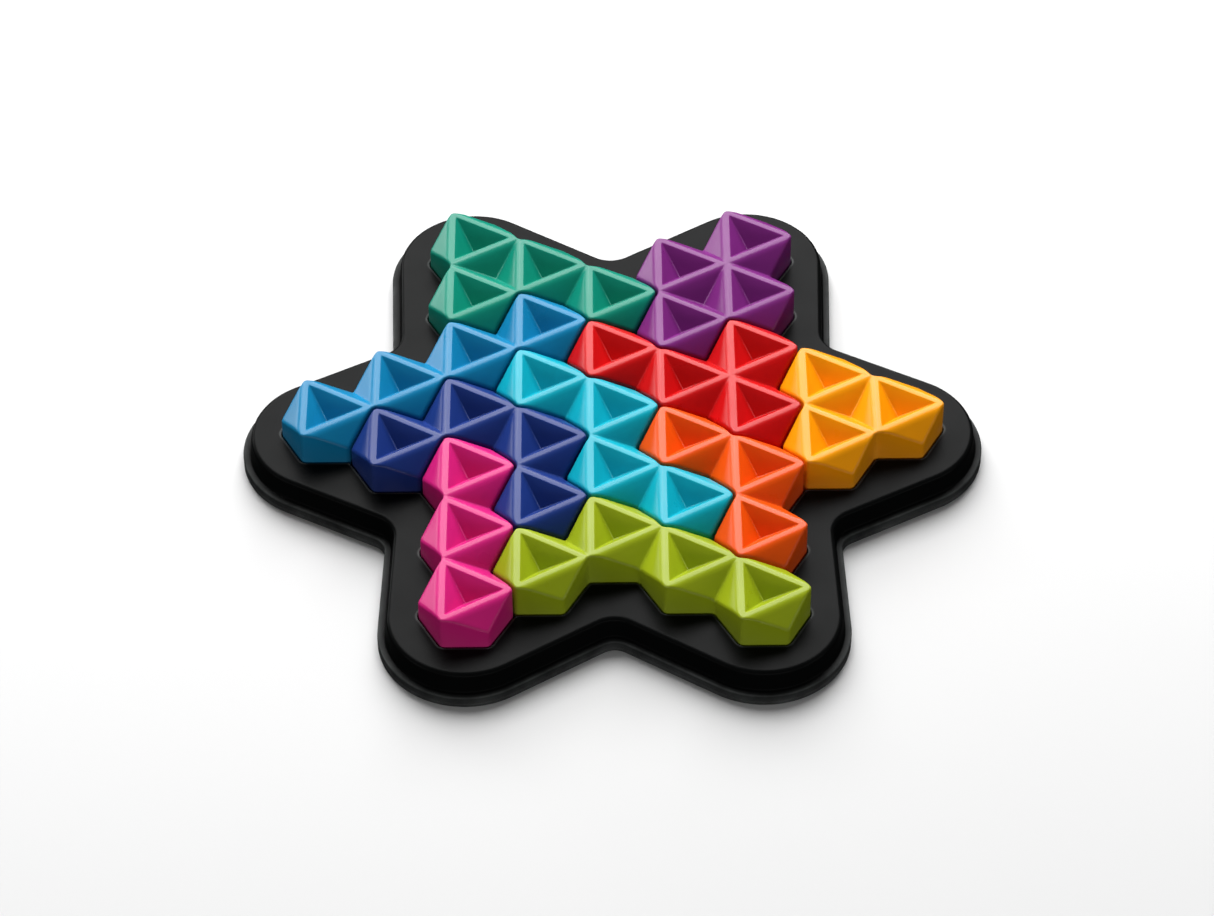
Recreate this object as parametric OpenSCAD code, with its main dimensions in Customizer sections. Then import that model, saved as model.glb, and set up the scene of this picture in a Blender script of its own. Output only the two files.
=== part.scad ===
// Star tray puzzle. Ten moulded pieces, each made of joined six-sided cells, fill
// the recess of a star-shaped tray that a flat plate closes from below.
// Millimetres, +Z up. The table is z = 0 and the star's centre is on the Z axis.

/* [Cells] */
// Distance between the centres of neighbouring cells.
cell_pitch = 22; // [18:0.5:28]
// Gap between the walls of neighbouring pieces.
piece_gap = 0.6; // [0.4:0.1:1.6]
// Radius of a piece's outer corners, seen from above.
corner_radius = 1.5; // [0.5:0.1:3]
// Radius of the inner corners where two cells of a piece meet.
waist_radius = 2.2; // [0.5:0.1:4]

/* [Piece tops] */
// Height of the pieces' rims above the tray's deck.
rim_rise = 9.8; // [8:0.1:14]
// Depth of the three-sided pocket in each cell.
pocket_depth = 5.3; // [3:0.1:8]
// Width of the flat rim on the pocket's side of the line between full-height corners.
rim_inside = 1.4; // [0.8:0.1:2.5]
// Width of the flat rim on the other side of that line.
rim_outside = 0.6; // [0.2:0.1:1.5]
// How far the other three corners of a cell lie below the rims.
low_corner_drop = 5.4; // [3:0.1:8]
// Half the width of the small flat at the bottom of a pocket.
pocket_floor = 0.25; // [0.1:0.05:1]

/* [Piece undersides] */
// Outer wall of a hollow piece.
piece_wall = 1.9; // [1.2:0.1:3]
// Rib under the line where two cells of a piece meet.
piece_rib = 2.4; // [1.2:0.1:4]
// Least thickness between a pocket and the hollow under it.
piece_roof = 1.6; // [1:0.1:3]

/* [Tray] */
// Height of the tray's deck above the table.
deck_height = 9.5; // [8:0.1:14]
// Depth of the recess that the pieces stand in.
recess_depth = 3; // [2:0.1:5]
// Gap between the recess and the pieces.
recess_gap = 0.4; // [0.3:0.1:1.5]
// Radius of the tray's six lobes, at the deck's wall.
lobe_radius = 20.8; // [18:0.1:24]
// Half the angle that a lobe's round end turns through, in degrees.
lobe_half_angle = 62; // [56:1:68]
// Radius of the six notches between the lobes, at the deck's wall.
notch_radius = 7.4; // [5:0.1:12]
// Thickness of the tray's deck and outer wall.
tray_wall = 2; // [1.2:0.1:3]
// Thickness of the recess's floor and sides.
pan_wall = 1.8; // [1.2:0.1:3]
// How far the rim round the tray's foot stands out from the deck's wall.
rim_ledge = 2.2; // [1:0.1:5]
// Height of that rim, above the base plate.
rim_height = 2.3; // [1.5:0.1:5]

/* [Base plate] */
// Thickness of the plate that closes the tray.
plate_thickness = 1.2; // [0.8:0.1:2]
// Height of the lip that centres the plate in the tray.
lip_height = 1; // [0.5:0.1:2]
// Width of that lip.
lip_width = 1.4; // [0.8:0.1:2.5]
// Gap between the lip and the tray's wall.
lip_gap = 0.2; // [0.1:0.05:0.5]
// Radius of the plate's pegs.
peg_radius = 1.6; // [1:0.1:2.5]
// Radial gap between a peg and its socket, filled with glue.
peg_gap = 0.05; // [0.02:0.01:0.2]
// Radius of the bosses that hold the pegs.
boss_radius = 3.6; // [2.5:0.1:5]

/* [Hidden] */

// Each cell is [columns, rows] from the star's centre. Columns are one and a half
// cell sides apart, rows are one pitch, and every other column is half a row off.
TEAL = [[-2, 3], [-2, 2], [-1, 2.5], [0, 2]];
PURPLE = [[1, 2.5], [1, 1.5], [2, 3], [2, 2]];
LIGHT_BLUE = [[-4, 0], [-3, 0.5], [-2, 1], [-1, 1.5]];
DARK_BLUE = [[-3, -0.5], [-2, 0], [-1, -0.5], [-1, -1.5]];
PINK = [[-2, -1], [-2, -2], [-2, -3]];
CYAN = [[-1, 0.5], [0, 0], [0, -1], [1, -1.5]];
RED = [[0, 1], [1, 0.5], [2, 1], [2, 0]];
ORANGE = [[1, -0.5], [2, -1], [2, -2]];
LIME = [[-1, -2.5], [0, -2], [1, -2.5], [2, -3]];
YELLOW = [[3, 0.5], [3, -0.5], [4, 0]];
STAR = concat(TEAL, PURPLE, LIGHT_BLUE, DARK_BLUE, PINK, CYAN, RED, ORANGE, LIME, YELLOW);

// Steps to a cell's six neighbours, anticlockwise from the one at 30 degrees.
NEIGHBOUR = [[1, 0.5], [0, 1], [-1, 0.5], [-1, -0.5], [0, -1], [1, -0.5]];

cell_side = cell_pitch / sqrt(3);
corner_line = cell_side / 2; // from a cell's centre to the line between full-height corners
recess_z = deck_height - recess_depth;
rim_z = deck_height + rim_rise;
low_corner_z = rim_z - low_corner_drop;
hollow_z = low_corner_z - piece_roof;
recess_grow = recess_gap - piece_gap / 2; // from the cells' own outline to the recess
tip_reach = cell_pitch * 2 * sqrt(3); // from the star's centre to its six tip cells
lobe_side = tip_reach * cos(lobe_half_angle) + lobe_radius; // from the centre to the lobes' straight sides
notch_reach = (lobe_side + notch_radius) / cos(lobe_half_angle - 30); // to the notches' middles
ledge_z = plate_thickness + rim_height;
pan_z = recess_z - pan_wall;
cut = 1; // how far a cutting solid runs past the face that it opens
corner_steps = 5;
lobe_steps = 24;
notch_steps = 12;

function dir(angle) = [cos(angle), sin(angle)];
function centre(cell) = [cell[0] * cell_pitch * sqrt(3) / 2, cell[1] * cell_pitch];
function corner(cell, k) = centre(cell) + cell_side * dir(60 * k);
function has(cells, cell) = len([for (c = cells) if (c == cell) c]) > 0;
function arc(middle, radius, start, end, steps) =
  [for (i = [0:steps]) middle + radius * dir(start + (end - start) * i / steps)];

// A group of cells is walked anticlockwise, side by side. A side is [cell, number].
function first_side(cells) =
  [for (c = cells) for (k = [0:5]) if (!has(cells, c + NEIGHBOUR[k])) [c, k]][0];
function next_side(cells, side) =
  let (k = (side[1] + 1) % 6, beyond = side[0] + NEIGHBOUR[k])
  has(cells, beyond) ? [beyond, (k + 4) % 6] : [side[0], k];
function sides(cells, walked) =
  let (next = next_side(cells, walked[len(walked) - 1]))
  next == walked[0] ? walked : sides(cells, concat(walked, [next]));

// The outline of a group of cells, moved outwards by grow, with round corners.
function outline(cells, grow, outer_radius, inner_radius) =
  let (walk = sides(cells, [first_side(cells)]))
  [for (n = [0:len(walk) - 1])
    let (
      side = walk[n],
      turns_out = walk[(n + 1) % len(walk)][0] == side[0],
      at = corner(side[0], side[1] + 1),
      facing = 60 * side[1] + (turns_out ? 60 : 0),
      shift = turns_out ? grow - outer_radius : grow + inner_radius,
      middle = at + shift / cos(30) * dir(facing)
    )
    each turns_out ? arc(middle, outer_radius, facing - 30, facing + 30, corner_steps)
      : arc(middle, inner_radius, facing + 210, facing + 150, corner_steps)];

// The corners that a group of cells holds low, each once.
function low_corners(cells) =
  let (all = [for (c = cells) for (k = [1, 3, 5]) corner(c, k)])
  [for (n = [0:len(all) - 1])
    if (len([for (m = [0:1:n - 1]) if (norm(all[m] - all[n]) < cell_side / 2) m]) == 0) all[n]];

// A three-sided cut with its point down, which reaches inradius at the rims' height.
module pyramid_cut(inradius, depth, point) {
  widen = (2 * inradius - point) * cut / depth;
  translate([0, 0, rim_z - depth])
    cylinder(h = depth + cut, r1 = point, r2 = 2 * inradius + widen, $fn = 3);
}

// The hollow under a piece, open at the bottom and crossed by ribs between its cells.
module underside_cut(cells) {
  rise = hollow_z - recess_z + cut;
  translate([0, 0, recess_z - cut])
    difference() {
      linear_extrude(rise)
        polygon(outline(cells, -piece_gap / 2 - piece_wall, corner_radius / 2, waist_radius));
      for (c = cells, k = [0:2])
        if (has(cells, c + NEIGHBOUR[k]))
          translate(centre(c))
            rotate(60 * k + 30)
              translate([(cell_pitch - piece_rib) / 2, -cell_side / 2 - piece_rib / 2, -cut])
                cube([piece_rib, cell_side + piece_rib, rise + 2 * cut]);
    }
}

module moulded_piece(cells) {
  difference() {
    translate([0, 0, recess_z])
      linear_extrude(rim_z - recess_z)
        polygon(outline(cells, -piece_gap / 2, corner_radius, waist_radius));
    for (c = cells)
      translate(centre(c)) pyramid_cut(corner_line - rim_inside, pocket_depth, pocket_floor);
    for (at = low_corners(cells))
      translate(at)
        rotate(180) pyramid_cut(corner_line - rim_outside, low_corner_drop, pocket_floor / 10);
    underside_cut(cells);
  }
}

// The tray's outline moved outwards by grow: a round lobe about each tip cell and a
// round notch between lobes, joined by straight sides that run smoothly into both.
function star_outline(grow) =
  [for (k = [0:5])
    let (at = 60 * k, half = lobe_half_angle)
    each concat(arc(tip_reach * dir(at), lobe_radius + grow, at - half, at + half, lobe_steps),
      arc(notch_reach * dir(at + 30), notch_radius - grow, at + 180 + half, at + 240 - half, notch_steps))];

// A slab with that outline, from one height to another.
module star_slab(grow, low, high) {
  translate([0, 0, low]) linear_extrude(high - low) polygon(star_outline(grow));
}

module recess_slab(grow, low, high) {
  translate([0, 0, low])
    linear_extrude(high - low)
      polygon(outline(STAR, recess_grow + grow,
        corner_radius + recess_gap + grow, max(waist_radius - recess_gap - grow, 0.2)));
}

module at_pegs() {
  children();
  for (k = [0:5]) rotate(60 * k) translate([tip_reach, 0, 0]) children();
}

module star_tray() {
  color([0.08, 0.085, 0.085])
    difference() {
      union() {
        star_slab(0, plate_thickness, deck_height);
        star_slab(rim_ledge, plate_thickness, ledge_z);
      }
      difference() {
        star_slab(-tray_wall, plate_thickness - cut, deck_height - tray_wall);
        recess_slab(pan_wall, pan_z, deck_height);
        at_pegs() translate([0, 0, plate_thickness])
          cylinder(r = boss_radius, h = deck_height, $fn = 48);
      }
      recess_slab(0, recess_z, deck_height + cut);
      at_pegs() translate([0, 0, -cut])
        cylinder(r = peg_radius + peg_gap, h = pan_z + cut, $fn = 48);
    }
}

module base_plate() {
  color([0.07, 0.075, 0.075]) {
    star_slab(rim_ledge, 0, plate_thickness);
    difference() {
      star_slab(-tray_wall - lip_gap, 0, plate_thickness + lip_height);
      star_slab(-tray_wall - lip_gap - lip_width, plate_thickness, deck_height);
    }
    at_pegs() cylinder(r = peg_radius, h = pan_z - 0.4, $fn = 48);
  }
}

module teal_piece() { color([0.06, 0.61, 0.47]) moulded_piece(TEAL); }
module purple_piece() { color([0.48, 0.16, 0.55]) moulded_piece(PURPLE); }
module light_blue_piece() { color([0.12, 0.61, 0.84]) moulded_piece(LIGHT_BLUE); }
module dark_blue_piece() { color([0.14, 0.28, 0.62]) moulded_piece(DARK_BLUE); }
module pink_piece() { color([0.88, 0.13, 0.5]) moulded_piece(PINK); }
module cyan_piece() { color([0.12, 0.71, 0.8]) moulded_piece(CYAN); }
module red_piece() { color([0.88, 0.11, 0.11]) moulded_piece(RED); }
module orange_piece() { color([0.96, 0.39, 0.11]) moulded_piece(ORANGE); }
module lime_piece() { color([0.66, 0.75, 0.12]) moulded_piece(LIME); }
module yellow_piece() { color([0.98, 0.69, 0.06]) moulded_piece(YELLOW); }

star_tray();
base_plate();
teal_piece();
purple_piece();
light_blue_piece();
dark_blue_piece();
pink_piece();
cyan_piece();
red_piece();
orange_piece();
lime_piece();
yellow_piece();
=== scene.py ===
from math import cos, radians, sin, sqrt

import bpy
import numpy as np
from mathutils import Matrix, Vector
from mathutils.geometry import delaunay_2d_cdt


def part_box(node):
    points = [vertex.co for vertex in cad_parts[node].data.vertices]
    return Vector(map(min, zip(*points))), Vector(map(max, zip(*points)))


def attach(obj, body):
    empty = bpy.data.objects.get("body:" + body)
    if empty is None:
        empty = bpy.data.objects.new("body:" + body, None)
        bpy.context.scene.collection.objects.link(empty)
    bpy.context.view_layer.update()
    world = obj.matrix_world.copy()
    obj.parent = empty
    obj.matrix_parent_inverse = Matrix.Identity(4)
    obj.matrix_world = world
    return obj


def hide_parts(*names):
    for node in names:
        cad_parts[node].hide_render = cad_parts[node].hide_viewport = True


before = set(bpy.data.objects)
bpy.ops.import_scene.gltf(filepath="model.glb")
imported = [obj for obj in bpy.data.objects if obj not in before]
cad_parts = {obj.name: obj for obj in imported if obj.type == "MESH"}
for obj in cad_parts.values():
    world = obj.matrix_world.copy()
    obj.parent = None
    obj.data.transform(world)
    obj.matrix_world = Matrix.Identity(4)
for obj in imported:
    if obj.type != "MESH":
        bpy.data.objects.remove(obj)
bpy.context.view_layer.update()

# ---------------------------------------------------------------------------------
# Base plate: one flat moulding of black plastic that closes the tray from below. Its
# lip centres it in the tray's wall and its seven pegs are glued into the tray's bosses.

# Sizes here and below are millimetres; each mesh turns them into metres when it is made.
MM = 0.001
plate_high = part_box("base_plate")[1] / MM
tray_low, tray_high = (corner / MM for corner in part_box("star_tray"))

# The star is longer across two tips than the other way, by a fixed share of the pitch.
pitch = (tray_high.x - tray_high.y) / (2 * sqrt(3) - 3)
tip_reach = 2 * sqrt(3) * pitch
foot_radius = tray_high.x - tip_reach

# Six lobes about the tips run into six notches. As the outline moves in or out, the
# middles of both stay where they are and their two radii keep the same sum.
lobe_half_angle = 62
lobe_and_notch = 20.8 + 7.4
notch_side = tip_reach * cos(radians(lobe_half_angle)) + lobe_and_notch
notch_reach = notch_side / cos(radians(lobe_half_angle - 30))

plate_top = tray_low.z
plate_edge_round = 0.35
lip_outside, lip_inside, lip_rise = 18.4, 17.0, 1.0
peg_radius, peg_chamfer = 1.6, 0.3


def heading(angle):
    return np.array([cos(radians(angle)), sin(radians(angle))])


def arc(middle, radius, start, end, steps):
    turn = np.linspace(start, end, steps + 1)
    return [middle + radius * heading(angle) for angle in turn]


def star_loop(radius):
    """The tray's outline, anticlockwise, with lobes of this radius about the tips."""
    half, points = lobe_half_angle, []
    for at in range(0, 360, 60):
        points += arc(tip_reach * heading(at), radius, at - half, at + half, steps=40)
        notch = notch_reach * heading(at + 30)
        points += arc(notch, lobe_and_notch - radius, at + 180 + half, at + 240 - half, steps=20)
    return np.array(points)


def circle_loop(middle, radius, steps=40):
    return np.array(arc(np.array(middle), radius, 0, 360 * (1 - 1 / steps), steps - 1))


def foot_curve(radius, height, across, up, steps):
    """Rows of (radius, height) from a flat round a quarter turn into a wall above it."""
    turn = [radians(90 * n / steps) for n in range(steps + 1)]
    return [(radius - across * (1 - sin(a)), height + up * (1 - cos(a))) for a in turn]


def shoulder_curve(radius, height, across, down, steps):
    """Rows of (radius, height) from a wall round a quarter turn into a flat above it."""
    turn = [radians(90 * n / steps) for n in range(steps + 1)]
    return [(radius - across * (1 - cos(a)), height - down * (1 - sin(a))) for a in turn]


def inside(points, loop):
    """True for each point that lies inside the loop."""
    a, b = loop, np.roll(loop, -1, axis=0)
    x, y = points[:, 0:1], points[:, 1:2]
    spans = (a[:, 1] > y) != (b[:, 1] > y)
    rise = np.where(b[:, 1] == a[:, 1], 1, b[:, 1] - a[:, 1])
    crossing = a[:, 0] + (y - a[:, 1]) / rise * (b[:, 0] - a[:, 0])
    return np.count_nonzero(spans & (x < crossing), axis=1) % 2 == 1


def mark_edges(mesh):
    """Stores how sharply the surface turns outwards at each point, for lighter edges that are partly
    rubbed wear and partly painted highlight.
    """
    unlightened_bend, bend_range = 1, 1.5
    ends = np.empty(2 * len(mesh.edges), int)
    mesh.edges.foreach_get("vertices", ends)
    ends = ends.reshape(-1, 2)
    spots, normals = (np.empty(3 * len(mesh.vertices)) for _ in range(2))
    mesh.vertices.foreach_get("co", spots)
    mesh.vertices.foreach_get("normal", normals)
    spots, normals = spots.reshape(-1, 3), normals.reshape(-1, 3)
    along = spots[ends[:, 1]] - spots[ends[:, 0]]
    turn = ((normals[ends[:, 1]] - normals[ends[:, 0]]) * along).sum(axis=1)
    bend = turn / np.maximum((along**2).sum(axis=1), 1e-12) * MM
    edge = np.zeros(len(spots))
    for side in (0, 1):
        lightened = np.clip((bend - unlightened_bend) / bend_range, 0, 1)
        np.maximum.at(edge, ends[:, side], lightened)
    mesh.attributes.new("edge", "FLOAT", "POINT").data.foreach_set("value", edge)


class Moulding:
    """A plastic part's surface, built from rings of points joined by walls and sheets."""

    def __init__(self):
        self.points, self.faces = [], []

    def ring(self, loop, height):
        start = len(self.points)
        heights = np.broadcast_to(height, len(loop))
        self.points += [(x, y, z) for (x, y), z in zip(loop, heights)]
        return list(range(start, len(self.points)))

    def wall(self, lower, upper):
        for i in range(len(lower)):
            j = (i + 1) % len(lower)
            self.faces.append((lower[i], lower[j], upper[j], upper[i]))

    def rings(self, rows):
        """Joins one ring after another; each row is (loop, height)."""
        made = [self.ring(loop, height) for loop, height in rows]
        for lower, upper in zip(made, made[1:]):
            self.wall(lower, upper)
        return made

    def sheet(self, outer, holes=(), facing_up=True):
        """Fills the space between an outer ring and the rings of its holes."""
        loops = [outer, *holes]
        ids = [i for loop in loops for i in loop]
        flat = [Vector(self.points[i][:2]) for i in ids]
        edges, start = [], 0
        for loop in loops:
            n = len(loop)
            edges += [(start + i, start + (i + 1) % n) for i in range(n)]
            start += n
        made = delaunay_2d_cdt(flat, edges, [], 0, 1e-5)
        spots = np.array([point[:] for point in made[0]])
        source = [ids[found[0]] for found in made[3]]
        triangles = np.array(made[2])
        middles = spots[triangles].mean(axis=1)
        kept = inside(middles, np.array([self.points[i][:2] for i in outer]))
        for hole in holes:
            kept &= ~inside(middles, np.array([self.points[i][:2] for i in hole]))
        for a, b, c in triangles[kept]:
            corners = (source[a], source[b], source[c])
            self.faces.append(corners if facing_up else corners[::-1])

    def make(self, name, material):
        mesh = bpy.data.meshes.new(name)
        mesh.from_pydata([Vector(p) * MM for p in self.points], [], self.faces)
        mesh.validate()
        mesh.polygons.foreach_set("use_smooth", [True] * len(mesh.polygons))
        mesh.materials.append(material)
        mark_edges(mesh)
        made = bpy.data.objects.new(name, mesh)
        bpy.context.collection.objects.link(made)
        return made


def add_node(tree, kind, **values):
    """Adds a node and sets its properties; a value that is a socket is linked instead."""
    node = tree.nodes.new(kind)
    for key, value in values.items():
        if key in node.inputs:
            if isinstance(value, bpy.types.NodeSocket):
                tree.links.new(value, node.inputs[key])
            else:
                node.inputs[key].default_value = value
        else:
            setattr(node, key, value)
    return node


def noise(tree, place, scale, detail=2.0):
    made = add_node(tree, "ShaderNodeTexNoise", Vector=place, Scale=scale, Detail=detail)
    return made.outputs["Fac"]


def spread(tree, value, low, high, start=0.3, end=0.7):
    """Stretches a value that runs from start to end so that it runs from low to high."""
    made = add_node(tree, "ShaderNodeMapRange", Value=value)
    for name, number in (("From Min", start), ("From Max", end), ("To Min", low), ("To Max", high)):
        made.inputs[name].default_value = number
    return made.outputs["Result"]


def blend(tree, share, first, second):
    """Mixes two colours; each is a socket or three numbers."""
    made = tree.nodes.new("ShaderNodeMix")
    made.data_type = "RGBA"
    share_in, first_in, second_in = (made.inputs[i] for i in (0, 6, 7))
    tree.links.new(share, share_in)
    for socket, value in ((first_in, first), (second_in, second)):
        if isinstance(value, bpy.types.NodeSocket):
            tree.links.new(value, socket)
        else:
            socket.default_value = (*value, 1)
    return made.outputs[2]


def plastic(name, colour, worn_and_highlight, roughness, shine, grain, grain_scale):
    """Moulded plastic: faint clouds in the colour, uneven gloss, grain, and sharp edges lightened partly
    as rubbed wear and partly as painted highlight.
    """
    cloud_scale, lightened_patch_scale, handling_scale = 55, 160, 90
    deepest, brightest = 0.93, 1.05
    least_lightened = 0.35
    smoother, rougher = 0.03, 0.05
    material = bpy.data.materials.new(name)
    material.use_nodes = True
    tree = material.node_tree
    shader = tree.nodes["Principled BSDF"]
    place = add_node(tree, "ShaderNodeTexCoord").outputs["Object"]
    clouds = spread(tree, noise(tree, place, cloud_scale), 0, 1)
    deep = tuple(deepest * channel for channel in colour)
    bright = tuple(min(brightest * channel, 1) for channel in colour)
    # Sharp edges mix towards the lighter colour: partly rubbed wear, partly painted highlight.
    edge = add_node(tree, "ShaderNodeAttribute", attribute_name="edge").outputs["Fac"]
    rubs_and_highlights = add_node(tree, "ShaderNodeMath", operation="MULTIPLY")
    tree.links.new(edge, rubs_and_highlights.inputs[0])
    patches = spread(tree, noise(tree, place, lightened_patch_scale, detail=4), least_lightened, 1)
    tree.links.new(patches, rubs_and_highlights.inputs[1])
    body = blend(tree, clouds, deep, bright)
    tree.links.new(blend(tree, rubs_and_highlights.outputs[0], body, worn_and_highlight), shader.inputs["Base Color"])
    gloss = noise(tree, place, handling_scale, detail=5)
    handled = spread(tree, gloss, roughness - smoother, roughness + rougher)
    tree.links.new(handled, shader.inputs["Roughness"])
    bump = add_node(tree, "ShaderNodeBump", Height=noise(tree, place, grain_scale, detail=3))
    bump.inputs["Strength"].default_value = 1.0
    bump.inputs["Distance"].default_value = grain * MM
    tree.links.new(bump.outputs["Normal"], shader.inputs["Normal"])
    shader.inputs["IOR"].default_value = 1.49
    shader.inputs["Specular IOR Level"].default_value = shine
    return material


# The lighter black on sharp edges is partly rubbed wear and partly painted highlight, drawing thin light
# lines along the ledge's and deck's rounded edges.
black, rubbed_and_highlight_black = (0.003, 0.0033, 0.0033), (0.09, 0.095, 0.094)
black_plate = plastic("black_plate_plastic", black, rubbed_and_highlight_black,
                      roughness=0.34, shine=0.045, grain=0.006, grain_scale=2500)
plate = Moulding()
rows = foot_curve(foot_radius, 0, plate_edge_round, plate_edge_round, steps=3)
rows += shoulder_curve(foot_radius, plate_top, plate_edge_round, plate_edge_round, steps=3)
plate_rings = plate.rings([(star_loop(radius), height) for radius, height in rows])
plate.sheet(plate_rings[0], facing_up=False)
lip_top = plate_top + lip_rise
rows = [(lip_outside, plate_top), (lip_outside, lip_top), (lip_inside, lip_top), (lip_inside, plate_top)]
lip = plate.rings([(star_loop(radius), height) for radius, height in rows])
plate.sheet(plate_rings[-1], [lip[0]])
peg_spots = [(0.0, 0.0)] + [tuple(tip_reach * heading(60 * k)) for k in range(6)]
rows = [(peg_radius, plate_top), (peg_radius, plate_high.z - peg_chamfer),
        (peg_radius - peg_chamfer, plate_high.z)]
pegs = []
for spot in peg_spots:
    peg = plate.rings([(circle_loop(spot, radius), height) for radius, height in rows])
    plate.sheet(peg[-1])
    pegs.append(peg[0])
plate.sheet(lip[-1], pegs)
base_plate = plate.make("base_plate_moulding", black_plate)
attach(base_plate, "tray")
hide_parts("base_plate")

# ---------------------------------------------------------------------------------
# Star tray: one moulding of satin black plastic. A round-edged deck falls in a slightly
# sloping wall to a ledge round its foot, the pieces stand in a shallow recess, and
# seven bosses under the recess's floor take the base plate's pegs.

deck = tray_high.z
piece_low, rim_top = (corner.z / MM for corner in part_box("red_piece"))
ledge_rise = 2.3
ledge_height = plate_top + ledge_rise
deck_edge, deck_round = 20.5, 1.3
wall_foot, cove = 21.0, 0.5
ledge_round, foot_round = 0.45, 0.35
wall_inside, deck_wall, pan_wall = 18.6, 2, 1.8
recess_gap, recess_corner, recess_waist = 0.1, 2.3, 1.4
recess_round, floor_round = 0.35, 0.6
pan_gap, pan_corner, pan_waist = 2.1, 4.1, 0.2
boss_radius, peg_gap, peg_tip_gap = 3.6, 0.05, 0.1

# A last row of points this far past a rounded edge keeps the flat beside it flat.
flat_row = 0.4

NEIGHBOUR = [(1, 0.5), (0, 1), (-1, 0.5), (-1, -0.5), (0, -1), (1, -0.5)]
PIECES = {
    "teal": [(-2, 3), (-2, 2), (-1, 2.5), (0, 2)],
    "purple": [(1, 2.5), (1, 1.5), (2, 3), (2, 2)],
    "light_blue": [(-4, 0), (-3, 0.5), (-2, 1), (-1, 1.5)],
    "dark_blue": [(-3, -0.5), (-2, 0), (-1, -0.5), (-1, -1.5)],
    "pink": [(-2, -1), (-2, -2), (-2, -3)],
    "cyan": [(-1, 0.5), (0, 0), (0, -1), (1, -1.5)],
    "red": [(0, 1), (1, 0.5), (2, 1), (2, 0)],
    "orange": [(1, -0.5), (2, -1), (2, -2)],
    "lime": [(-1, -2.5), (0, -2), (1, -2.5), (2, -3)],
    "yellow": [(3, 0.5), (3, -0.5), (4, 0)],
}
STAR = [cell for cells in PIECES.values() for cell in cells]
cell_side = pitch / sqrt(3)


def centre(cell):
    return np.array([cell[0] * pitch * sqrt(3) / 2, cell[1] * pitch])


def neighbour(cell, k):
    step = NEIGHBOUR[k % 6]
    return (cell[0] + step[0], cell[1] + step[1])


def cell_loop(cells, grow, outer_radius, inner_radius, steps=5):
    """The outline of joined cells, anticlockwise, moved outwards by grow."""
    at = next((c, k) for c in cells for k in range(6) if neighbour(c, k) not in cells)
    start, points = at, []
    while True:
        cell, k = at
        beyond = neighbour(cell, k + 1)
        turns_out = beyond not in cells
        corner = centre(cell) + cell_side * heading(60 * (k + 1))
        facing = 60 * k + (60 if turns_out else 0)
        if turns_out:
            middle = corner + (grow - outer_radius) / cos(radians(30)) * heading(facing)
            points += arc(middle, outer_radius, facing - 30, facing + 30, steps)
            at = (cell, (k + 1) % 6)
        else:
            middle = corner + (grow + inner_radius) / cos(radians(30)) * heading(facing)
            points += arc(middle, inner_radius, facing + 210, facing + 150, steps)
            at = (beyond, (k + 5) % 6)
        if at == start:
            return np.array(points)


def recess_loop(grow):
    return cell_loop(STAR, recess_gap + grow, recess_corner + grow, recess_waist - grow)


black_tray = plastic("black_tray_plastic", black, rubbed_and_highlight_black,
                     roughness=0.34, shine=0.034, grain=0.004, grain_scale=2500)
tray = Moulding()
rows = [(wall_inside, plate_top)]
rows += foot_curve(foot_radius, plate_top, foot_round, foot_round, steps=4)
rows += shoulder_curve(foot_radius, ledge_height, ledge_round, ledge_round, steps=4)
rows += foot_curve(wall_foot, ledge_height, -cove, cove, steps=4)
rows += shoulder_curve(deck_edge, deck, deck_round, deck_round, steps=8)
rows += [(deck_edge - deck_round - flat_row, deck)]
outer_rings = tray.rings([(star_loop(radius), height) for radius, height in rows])
rows = [(recess_round + flat_row, deck)]
rows += foot_curve(0, deck, -recess_round, -recess_round, steps=4)
rows += shoulder_curve(0, piece_low, floor_round, -floor_round, steps=4)
rows += [(-floor_round - flat_row, piece_low)]
recess_rings = tray.rings([(recess_loop(grow), height) for grow, height in rows])
tray.sheet(outer_rings[-1], [recess_rings[0]])
tray.sheet(recess_rings[-1])

# Underneath, the deck's ceiling meets a pan that follows the recess.
deck_under, pan_under = deck - deck_wall, piece_low - pan_wall
ceiling = tray.rings([(star_loop(wall_inside), deck_under), (star_loop(wall_inside), plate_top)])
tray.wall(ceiling[1], outer_rings[0])
pan_loop = cell_loop(STAR, pan_gap, pan_corner, pan_waist)
pan = tray.rings([(pan_loop, pan_under), (pan_loop, deck_under)])
tray.sheet(ceiling[0], [pan[1]], facing_up=False)
rows = [(peg_radius + peg_gap, pan_under - peg_tip_gap), (peg_radius + peg_gap, plate_top),
        (boss_radius, plate_top), (boss_radius, pan_under)]
bosses = []
for spot in peg_spots:
    boss = tray.rings([(circle_loop(spot, radius), height) for radius, height in rows])
    tray.sheet(boss[0], facing_up=False)
    bosses.append(boss[-1])
tray.sheet(pan[0], bosses, facing_up=False)
star_tray = tray.make("star_tray_moulding", black_tray)
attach(star_tray, "tray")
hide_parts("star_tray")

# ---------------------------------------------------------------------------------
# The ten coloured pieces: each is one glossy plastic moulding of three or four cells,
# open below, with a rib between cells. A pocket is sunk into each cell and a dimple
# round each low corner, with soft rims between. They stand loose in the tray's recess.

wall_top_inset, wall_foot_inset = 0.36, 0.3
outer_corner, waist = 1.5, 1.9
rim_round, foot_edge_round = 0.6, 0.4
pocket = dict(facing=60, inradius=cell_side / 2 - 1.35, depth=5.35, edge=0.2, valley=0.4)
dimple = dict(facing=0, inradius=cell_side / 2 - 0.6, depth=5.4, edge=0.9, valley=0.6)
shell, rib, roof = 1.9, 2.4, 1.6
roof_share = 0.97
rim_row = 0.3


def soft_max(a, b, reach):
    """The greater of two heights, with the fold between them rounded."""
    near = np.maximum(reach - np.abs(a - b), 0)
    return np.maximum(a, b) + near**2 / (4 * reach)


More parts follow.
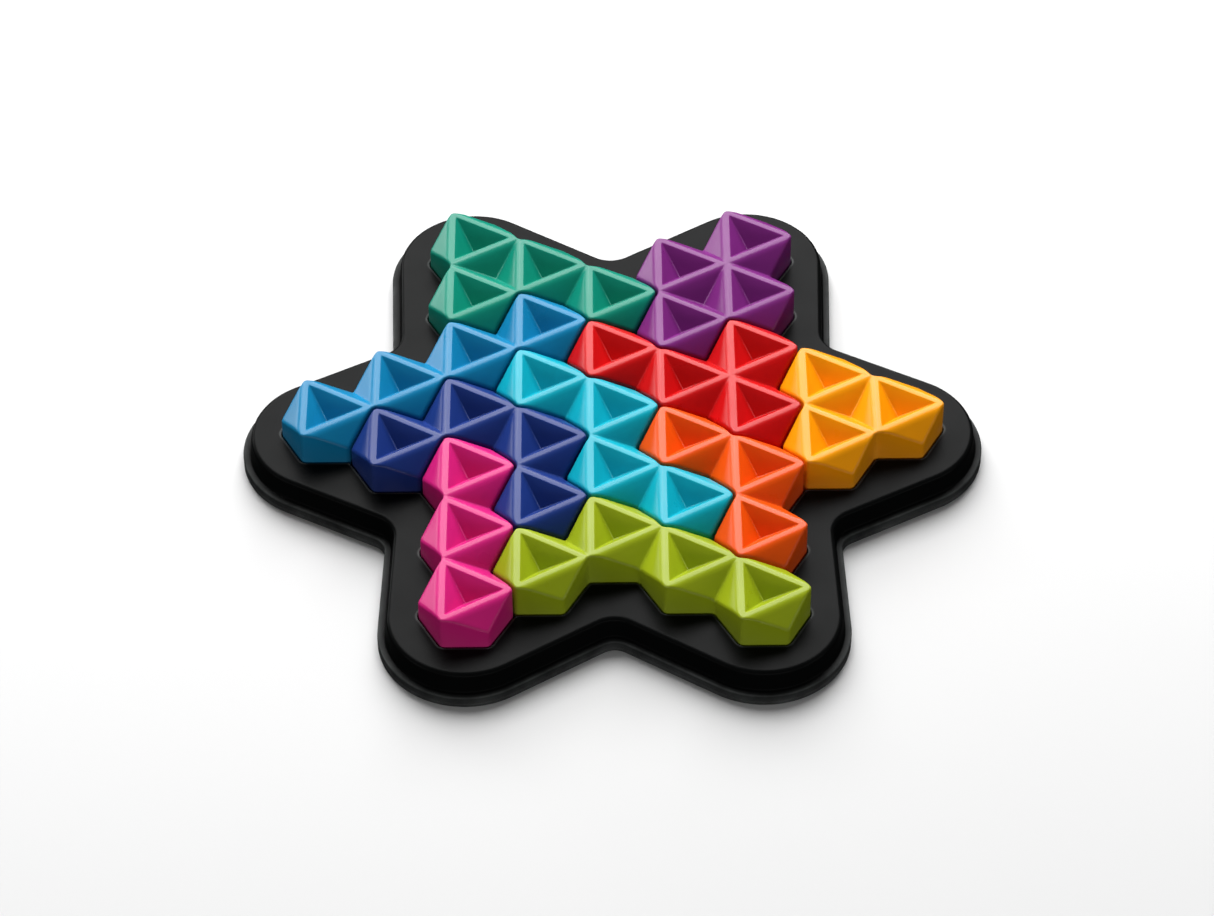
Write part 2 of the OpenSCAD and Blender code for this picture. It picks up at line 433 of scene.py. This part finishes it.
def sunk(points, at, facing, inradius, depth, edge, valley):
    """How far a three-sided hollow about one spot lies below the rim at each point."""
    sides = [(points - at) @ heading(facing + 120 * n) for n in range(3)]
    out = soft_max(soft_max(sides[0], sides[1], valley), sides[2], valley)
    slope = depth / inradius
    return soft_max((inradius - out) * slope, 0, edge * slope)


def fold_lines(at, facing, inradius, depth, edge, valley):
    """Segments along a hollow's edges and valleys, where its mesh needs points."""
    beside_edge, beside_valley = 0.25, 0.3
    lines = []
    for grow in (-edge - beside_edge, -edge, -edge / 2, 0, edge / 2, edge, edge + beside_edge):
        tips = [at + 2 * (inradius + grow) * heading(facing + 60 + 120 * n) for n in range(3)]
        lines += [(tips[n], tips[(n + 1) % 3]) for n in range(3)]
    half = valley / sqrt(3)
    for n in range(3):
        along = heading(facing + 60 + 120 * n)
        across = heading(facing + 150 + 120 * n)
        for aside in (-half - beside_valley, -half, -half / 2, 0, half / 2, half, half + beside_valley):
            lines.append((at + aside * across, at + 2 * inradius * along + aside * across))
    return lines


def low_corners(cells):
    """The corners that the cells hold low, each once."""
    found = {}
    for cell in cells:
        for k in (1, 3, 5):
            spot = centre(cell) + cell_side * heading(60 * k)
            found[tuple(np.round(spot, 3))] = spot
    return list(found.values())


def gap_to(points, loop):
    """Each point's distance to the loop."""
    along = np.roll(loop, -1, axis=0) - loop
    length = np.maximum((along**2).sum(axis=1), 1e-9)
    to = points[:, None, :] - loop[None]
    share = np.clip((to * along).sum(axis=2) / length, 0, 1)
    return np.sqrt(((to - share[:, :, None] * along) ** 2).sum(axis=2)).min(axis=1)


def wall_loop(cells, inset):
    """A piece's outline, this far inside the outline of its cells."""
    further = inset - wall_top_inset
    return cell_loop(cells, -inset, outer_corner - further, waist + further)


def top_sheet(part, cells, top):
    """The top: one sheet with points on every edge and fold, each lowered to its height."""
    insets = [inset for inset, _ in shoulder_curve(wall_top_inset, 0, -rim_round, 0, steps=5)]
    insets.append(insets[-1] + rim_row)
    flat, edges = [], []
    for inset in insets:
        loop = wall_loop(cells, inset)
        start = len(flat)
        flat += [Vector(point) for point in loop]
        edges += [(start + i, start + (i + 1) % len(loop)) for i in range(len(loop))]
    hollows = [(centre(cell), pocket) for cell in cells]
    hollows += [(spot, dimple) for spot in low_corners(cells)]
    for at, shape in hollows:
        for a, b in fold_lines(at, **shape):
            edges.append((len(flat), len(flat) + 1))
            flat += [Vector(a), Vector(b)]
    made = delaunay_2d_cdt(flat, edges, [], 0, 1e-4)
    spots = np.array([point[:] for point in made[0]])
    triangles = np.array(made[2])
    rim = wall_loop(cells, wall_top_inset)
    triangles = triangles[inside(spots[triangles].mean(axis=1), rim)]
    used = np.unique(triangles)
    renumber = np.full(len(spots), -1)
    renumber[used] = np.arange(len(used))
    spots, triangles = spots[used], renumber[triangles]
    drop = sum(sunk(spots, at, **shape) for at, shape in hollows)
    inward = np.minimum(gap_to(spots, rim), rim_round)
    rounding = rim_round - np.sqrt(rim_round**2 - (rim_round - inward) ** 2)
    # These are the part's first points, so the sheet's numbers are the part's own.
    part.ring(spots, top - drop - rounding)
    part.faces += [tuple(triangle) for triangle in triangles.tolist()]
    return spots, triangles.tolist()


def border_walk(triangles):
    """The sheet's border, walked round once."""
    edges = [(t[n], t[(n + 1) % 3]) for t in triangles for n in range(3)]
    known = set(edges)
    border = {a: b for a, b in edges if (b, a) not in known}
    walk = [next(iter(border))]
    while border[walk[-1]] != walk[0]:
        walk.append(border[walk[-1]])
    return walk


def hung_wall(part, spots, walk, low):
    """The wall hangs from the sheet's border and rounds under at its foot."""
    loop = spots[walk]
    ahead = np.roll(loop, -1, axis=0) - loop
    ahead /= np.linalg.norm(ahead, axis=1)[:, None]
    facing = ahead + np.roll(ahead, 1, axis=0)
    facing /= np.linalg.norm(facing, axis=1)[:, None]
    outward = np.stack([facing[:, 1], -facing[:, 0]], axis=1)
    draft = wall_top_inset - wall_foot_inset
    rows = foot_curve(draft, low, foot_edge_round, foot_edge_round, steps=3)
    rings = [part.ring(loop + outward * out, height) for out, height in rows] + [walk]
    for lower, upper in zip(rings, rings[1:]):
        part.wall(lower, upper)
    return rings[0]


def underside(part, cells, foot_ring, low, top):
    """One hollow to a cell, with ribs between them, inside the ring of the wall's foot."""
    roof_height = top - dimple["depth"] - roof
    mouths = []
    for cell in cells:
        reach = [pitch / 2 - (rib / 2 if neighbour(cell, k) in cells else wall_foot_inset + shell)
                 for k in range(6)]
        corners = []
        for k in range(6):
            sides = np.array([heading(60 * k - 30), heading(60 * k + 30)])
            corners.append(centre(cell) + np.linalg.solve(sides, np.array([reach[k - 1], reach[k]])))
        corners = np.array(corners)
        narrowed = centre(cell) + (corners - centre(cell)) * roof_share
        made = part.rings([(narrowed, roof_height), (corners, low)])
        part.sheet(made[0], facing_up=False)
        mouths.append(made[1])
    part.sheet(foot_ring, mouths, facing_up=False)


COLOURS = {
    "teal": (0.004, 0.245, 0.165),
    "purple": (0.185, 0.02, 0.185),
    "light_blue": (0.005, 0.205, 0.41),
    "dark_blue": (0.012, 0.035, 0.195),
    "pink": (0.62, 0.015, 0.19),
    "cyan": (0.004, 0.39, 0.5),
    "red": (0.57, 0.005, 0.006),
    "orange": (0.8, 0.083, 0.003),
    "lime": (0.315, 0.395, 0.01),
    "yellow": (0.92, 0.335, 0.002),
}
# Piece edges mix towards this grey: partly rubbed wear, partly painted highlight that lightens the rims.
wear_and_highlight_share, wear_and_highlight_grey = 0.08, 0.6
for name, cells in PIECES.items():
    low, top = (corner.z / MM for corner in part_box(f"{name}_piece"))
    part = Moulding()
    spots, triangles = top_sheet(part, cells, top)
    foot_ring = hung_wall(part, spots, border_walk(triangles), low)
    underside(part, cells, foot_ring, low, top)
    worn_and_highlight = tuple((1 - wear_and_highlight_share) * channel + wear_and_highlight_share * wear_and_highlight_grey for channel in COLOURS[name])
    finish = plastic(f"{name}_plastic", COLOURS[name], worn_and_highlight,
                     roughness=0.3, shine=0.2, grain=0.002, grain_scale=900)
    piece = part.make(f"{name}_moulding", finish)
    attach(piece, f"{name}_piece")
    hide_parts(f"{name}_piece")

# ---------------------------------------------------------------------------------
# The table, the light and the camera, which are no part of the object: a white sheet,
# one large softbox behind with weak fills round it, and a long lens from the front.

table_half = 6.0
table_corners = [(x * table_half, y * table_half, 0) for x, y in ((-1, -1), (1, -1), (1, 1), (-1, 1))]
table_mesh = bpy.data.meshes.new("table_top")
table_mesh.from_pydata(table_corners, [], [(0, 1, 2, 3)])
table = bpy.data.objects.new("table_top", table_mesh)
bpy.context.collection.objects.link(table)
white = bpy.data.materials.new("white_table")
white.use_nodes = True
white_shader = white.node_tree.nodes["Principled BSDF"]
white_shader.inputs["Base Color"].default_value = (0.73, 0.73, 0.73, 1)
white_shader.inputs["Roughness"].default_value = 0.9
table_mesh.materials.append(white)
table.visible_glossy = table.visible_diffuse = False

world = bpy.data.worlds.new("studio")
bpy.context.scene.world = world
world.use_nodes = True
tree = world.node_tree
below, above = (0.02, 0.02, 0.02), (0.09, 0.09, 0.09)
facing = add_node(tree, "ShaderNodeTexCoord").outputs["Generated"]
height = add_node(tree, "ShaderNodeSeparateXYZ", Vector=facing).outputs["Z"]
room = blend(tree, spread(tree, height, 0, 1, start=-0.05, end=0.6), below, above)
tree.links.new(room, tree.nodes["Background"].inputs["Color"])
tree.nodes["Background"].inputs["Strength"].default_value = 1.0
bpy.context.scene.view_settings.view_transform = "Standard"


def area_light(name, place, size, power):
    """A rectangular light in metres and watts, turned to the middle of the table."""
    light = bpy.data.lights.new(name, "AREA")
    light.shape, light.size, light.size_y = "RECTANGLE", size[0], size[1]
    light.energy = power
    made = bpy.data.objects.new(name, light)
    made.location = place
    made.rotation_euler = (-Vector(place)).to_track_quat("-Z", "Y").to_euler()
    bpy.context.collection.objects.link(made)


lamp_turn, lamp_lift, lamp_gap = radians(94), radians(45), 1.2
lamp_place = (
    lamp_gap * cos(lamp_lift) * cos(lamp_turn),
    lamp_gap * cos(lamp_lift) * sin(lamp_turn),
    lamp_gap * sin(lamp_lift),
)
area_light("softbox", lamp_place, size=(1.3, 1.0), power=34)
area_light("back_card", (-0.85, 0.85, 0.12), size=(0.5, 0.3), power=3)
area_light("front_fill", (0.1, -1.2, 0.25), size=(1.6, 0.3), power=3.5)
for side in (-1, 1):
    area_light("side_fill", (1.0 * side, -0.55, 0.2), size=(0.6, 0.3), power=1.2)

camera_data = bpy.data.cameras.new("camera")
camera_data.sensor_width = 36
camera_data.lens = 119.6
camera = bpy.data.objects.new("camera", camera_data)
bpy.context.collection.objects.link(camera)
elevation, azimuth, roll = radians(45.74), radians(-0.19), radians(-0.28)
distance = 48.14 * pitch * MM
look_at = Vector((-0.071 * pitch * MM, -0.892 * pitch * MM, rim_top * MM))
back = Vector((sin(azimuth) * cos(elevation), -cos(azimuth) * cos(elevation), sin(elevation)))
right = (-back).cross(Vector((0, 0, 1))).normalized()
up = right.cross(-back)
turned_right = right * cos(roll) + up * sin(roll)
turned_up = up * cos(roll) - right * sin(roll)
place = look_at + back * distance
camera.matrix_world = Matrix((
    (turned_right.x, turned_up.x, back.x, place.x),
    (turned_right.y, turned_up.y, back.y, place.y),
    (turned_right.z, turned_up.z, back.z, place.z),
    (0, 0, 0, 1),
))
bpy.context.scene.camera = camera
